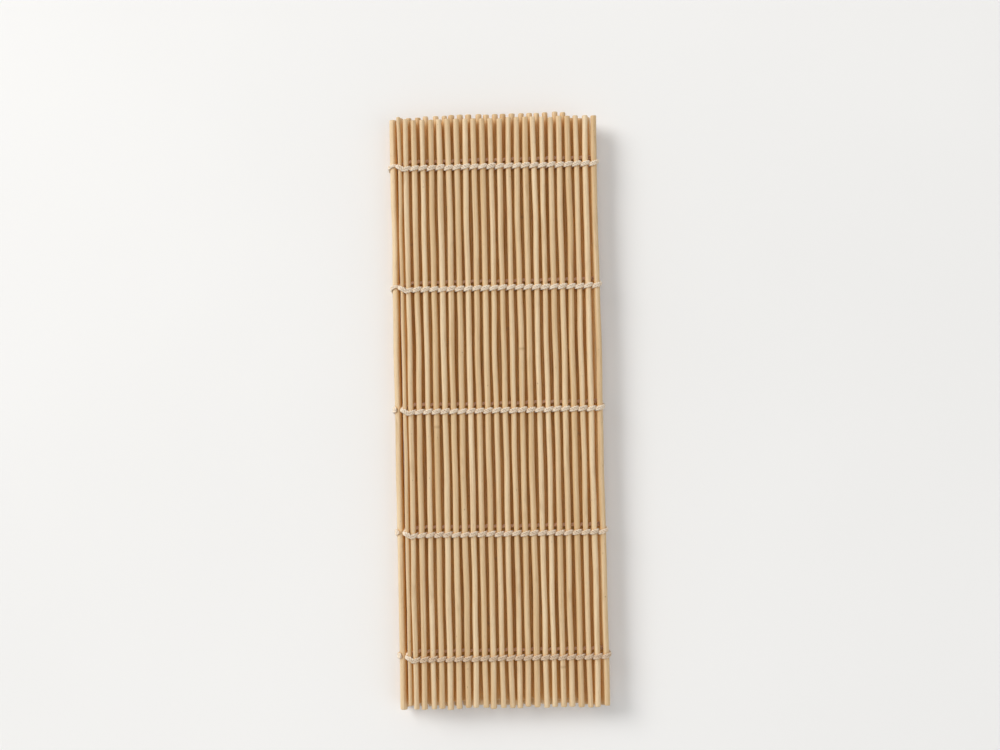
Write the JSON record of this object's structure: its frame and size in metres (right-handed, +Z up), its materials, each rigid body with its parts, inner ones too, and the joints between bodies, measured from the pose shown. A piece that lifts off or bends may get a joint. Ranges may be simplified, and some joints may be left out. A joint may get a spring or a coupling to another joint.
{
  "type": "bamboo rolling mat",
  "caption": "Rolling mat of round bamboo sticks twined side by side with cotton strings, folded in three; the folds open flat and the front third rolls up.",
  "frame": {"origin": "middle of the folded mat's underside, at the level of the strings it rests on", "axes": "+X across the sticks towards the fold between middle and front thirds, +Y along the sticks, +Z up through the layers to the front third"},
  "size_m": [0.087, 0.2434, 0.0126],
  "materials": {
    "bamboo": "pale natural bamboo, sanded, satin",
    "cotton": "undyed plied cotton, matte"
  },
  "bodies": {
    "base": {"sticks_base_01_02": "bamboo", "sticks_base_03_04": "bamboo", "sticks_base_05_06": "bamboo", "sticks_base_07_08_09": "bamboo", "sticks_base_10_11": "bamboo", "sticks_base_12_13_14": "bamboo", "sticks_base_15_16": "bamboo", "sticks_base_17_18": "bamboo", "sticks_base_19_20_21": "bamboo", "string_base_1": "cotton", "string_base_2": "cotton", "string_base_3": "cotton", "string_base_4": "cotton", "string_base_5": "cotton"},
    "middle": {"sticks_mid_01_02_03": "bamboo", "sticks_mid_04_05": "bamboo", "sticks_mid_06_07": "bamboo", "sticks_mid_08_09": "bamboo", "sticks_mid_10_11": "bamboo", "sticks_mid_12_13": "bamboo", "sticks_mid_14_15": "bamboo", "sticks_mid_16_17": "bamboo", "sticks_mid_18_19": "bamboo", "sticks_mid_20_21": "bamboo", "sticks_mid_22_23_24": "bamboo", "string_mid_1": "cotton", "string_mid_2": "cotton", "string_mid_3": "cotton", "string_mid_4": "cotton", "string_mid_5": "cotton"},
    "front_24": {"stick_front_24": "bamboo", "string_front_1": "cotton", "string_front_2": "cotton", "string_front_3": "cotton", "string_front_4": "cotton", "string_front_5": "cotton"},
    "front_23": {"stick_front_23": "bamboo"},
    "front_22": {"stick_front_22": "bamboo"},
    "front_21": {"stick_front_21": "bamboo"},
    "front_20": {"stick_front_20": "bamboo"},
    "front_19": {"stick_front_19": "bamboo"},
    "front_18": {"stick_front_18": "bamboo"},
    "front_17": {"stick_front_17": "bamboo"},
    "front_16": {"stick_front_16": "bamboo"},
    "front_15": {"stick_front_15": "bamboo"},
    "front_14": {"stick_front_14": "bamboo"},
    "front_13": {"stick_front_13": "bamboo"},
    "front_12": {"stick_front_12": "bamboo"},
    "front_11": {"stick_front_11": "bamboo"},
    "front_10": {"stick_front_10": "bamboo"},
    "front_09": {"stick_front_09": "bamboo"},
    "front_08": {"stick_front_08": "bamboo"},
    "front_07": {"stick_front_07": "bamboo"},
    "front_06": {"stick_front_06": "bamboo"},
    "front_05": {"stick_front_05": "bamboo"},
    "front_04": {"stick_front_04": "bamboo"},
    "front_03": {"stick_front_03": "bamboo"},
    "front_02": {"stick_front_02": "bamboo"},
    "front_01": {"stick_front_01": "bamboo"}
  },
  "joints": [
    {"name": "fold_left", "type": "hinge", "parent": "base", "child": "middle", "pos_m": [-0.04303, -0.00101, 0.00435], "axis": [0, -1, 0], "range_deg": [0, 180]},
    {"name": "fold_right", "type": "hinge", "parent": "middle", "child": "front_24", "pos_m": [0.04206, -0.00101, 0.00825], "axis": [0, 1, 0], "range_deg": [0, 180], "deforming": ["string_front_1", "string_front_2", "string_front_3", "string_front_4", "string_front_5"]},
    {"name": "front_roll", "type": "hinge", "parent": "front_24", "child": "front_23", "pos_m": [0.03944, -0.00101, 0.0102], "axis": [0, 1, 0], "range_deg": [0, 13], "deforming": ["string_front_1", "string_front_2", "string_front_3", "string_front_4", "string_front_5"]},
    {"name": "front_roll_22", "type": "hinge", "parent": "front_23", "child": "front_22", "pos_m": [0.03594, -0.00101, 0.0102], "axis": [0, 1, 0], "range_deg": [0, 13]},
    {"name": "front_roll_21", "type": "hinge", "parent": "front_22", "child": "front_21", "pos_m": [0.03244, -0.00101, 0.0102], "axis": [0, 1, 0], "range_deg": [0, 13]},
    {"name": "front_roll_20", "type": "hinge", "parent": "front_21", "child": "front_20", "pos_m": [0.02894, -0.00101, 0.0102], "axis": [0, 1, 0], "range_deg": [0, 13]},
    {"name": "front_roll_19", "type": "hinge", "parent": "front_20", "child": "front_19", "pos_m": [0.02544, -0.00101, 0.0102], "axis": [0, 1, 0], "range_deg": [0, 13]},
    {"name": "front_roll_18", "type": "hinge", "parent": "front_19", "child": "front_18", "pos_m": [0.02194, -0.00101, 0.0102], "axis": [0, 1, 0], "range_deg": [0, 13]},
    {"name": "front_roll_17", "type": "hinge", "parent": "front_18", "child": "front_17", "pos_m": [0.01844, -0.00101, 0.0102], "axis": [0, 1, 0], "range_deg": [0, 13]},
    {"name": "front_roll_16", "type": "hinge", "parent": "front_17", "child": "front_16", "pos_m": [0.01494, -0.00101, 0.0102], "axis": [0, 1, 0], "range_deg": [0, 13]},
    {"name": "front_roll_15", "type": "hinge", "parent": "front_16", "child": "front_15", "pos_m": [0.01144, -0.00101, 0.0102], "axis": [0, 1, 0], "range_deg": [0, 13]},
    {"name": "front_roll_14", "type": "hinge", "parent": "front_15", "child": "front_14", "pos_m": [0.00794, -0.00101, 0.0102], "axis": [0, 1, 0], "range_deg": [0, 13]},
    {"name": "front_roll_13", "type": "hinge", "parent": "front_14", "child": "front_13", "pos_m": [0.00444, -0.00101, 0.0102], "axis": [0, 1, 0], "range_deg": [0, 13]},
    {"name": "front_roll_12", "type": "hinge", "parent": "front_13", "child": "front_12", "pos_m": [0.00094, -0.00101, 0.0102], "axis": [0, 1, 0], "range_deg": [0, 13]},
    {"name": "front_roll_11", "type": "hinge", "parent": "front_12", "child": "front_11", "pos_m": [-0.00256, -0.00101, 0.0102], "axis": [0, 1, 0], "range_deg": [0, 13]},
    {"name": "front_roll_10", "type": "hinge", "parent": "front_11", "child": "front_10", "pos_m": [-0.00606, -0.00101, 0.0102], "axis": [0, 1, 0], "range_deg": [0, 13]},
    {"name": "front_roll_09", "type": "hinge", "parent": "front_10", "child": "front_09", "pos_m": [-0.00956, -0.00101, 0.0102], "axis": [0, 1, 0], "range_deg": [0, 13]},
    {"name": "front_roll_08", "type": "hinge", "parent": "front_09", "child": "front_08", "pos_m": [-0.01306, -0.00101, 0.0102], "axis": [0, 1, 0], "range_deg": [0, 13]},
    {"name": "front_roll_07", "type": "hinge", "parent": "front_08", "child": "front_07", "pos_m": [-0.01656, -0.00101, 0.0102], "axis": [0, 1, 0], "range_deg": [0, 13]},
    {"name": "front_roll_06", "type": "hinge", "parent": "front_07", "child": "front_06", "pos_m": [-0.02006, -0.00101, 0.0102], "axis": [0, 1, 0], "range_deg": [0, 13]},
    {"name": "front_roll_05", "type": "hinge", "parent": "front_06", "child": "front_05", "pos_m": [-0.02356, -0.00101, 0.0102], "axis": [0, 1, 0], "range_deg": [0, 13]},
    {"name": "front_roll_04", "type": "hinge", "parent": "front_05", "child": "front_04", "pos_m": [-0.02706, -0.00101, 0.0102], "axis": [0, 1, 0], "range_deg": [0, 13]},
    {"name": "front_roll_03", "type": "hinge", "parent": "front_04", "child": "front_03", "pos_m": [-0.03056, -0.00101, 0.0102], "axis": [0, 1, 0], "range_deg": [0, 13]},
    {"name": "front_roll_02", "type": "hinge", "parent": "front_03", "child": "front_02", "pos_m": [-0.03406, -0.00101, 0.0102], "axis": [0, 1, 0], "range_deg": [0, 13]},
    {"name": "front_roll_01", "type": "hinge", "parent": "front_02", "child": "front_01", "pos_m": [-0.03701, -0.00101, 0.0102], "axis": [0, 1, 0], "range_deg": [0, 13]}
  ],
  "couplings": [
    {"joint": "front_roll_22", "follows": "front_roll", "ratio": 1},
    {"joint": "front_roll_21", "follows": "front_roll", "ratio": 1},
    {"joint": "front_roll_20", "follows": "front_roll", "ratio": 1},
    {"joint": "front_roll_19", "follows": "front_roll", "ratio": 1},
    {"joint": "front_roll_18", "follows": "front_roll", "ratio": 1},
    {"joint": "front_roll_17", "follows": "front_roll", "ratio": 1},
    {"joint": "front_roll_16", "follows": "front_roll", "ratio": 1},
    {"joint": "front_roll_15", "follows": "front_roll", "ratio": 1},
    {"joint": "front_roll_14", "follows": "front_roll", "ratio": 1},
    {"joint": "front_roll_13", "follows": "front_roll", "ratio": 1},
    {"joint": "front_roll_12", "follows": "front_roll", "ratio": 1},
    {"joint": "front_roll_11", "follows": "front_roll", "ratio": 1},
    {"joint": "front_roll_10", "follows": "front_roll", "ratio": 1},
    {"joint": "front_roll_09", "follows": "front_roll", "ratio": 1},
    {"joint": "front_roll_08", "follows": "front_roll", "ratio": 1},
    {"joint": "front_roll_07", "follows": "front_roll", "ratio": 1},
    {"joint": "front_roll_06", "follows": "front_roll", "ratio": 1},
    {"joint": "front_roll_05", "follows": "front_roll", "ratio": 1},
    {"joint": "front_roll_04", "follows": "front_roll", "ratio": 1},
    {"joint": "front_roll_03", "follows": "front_roll", "ratio": 1},
    {"joint": "front_roll_02", "follows": "front_roll", "ratio": 1},
    {"joint": "front_roll_01", "follows": "front_roll", "ratio": 1}
  ]
}
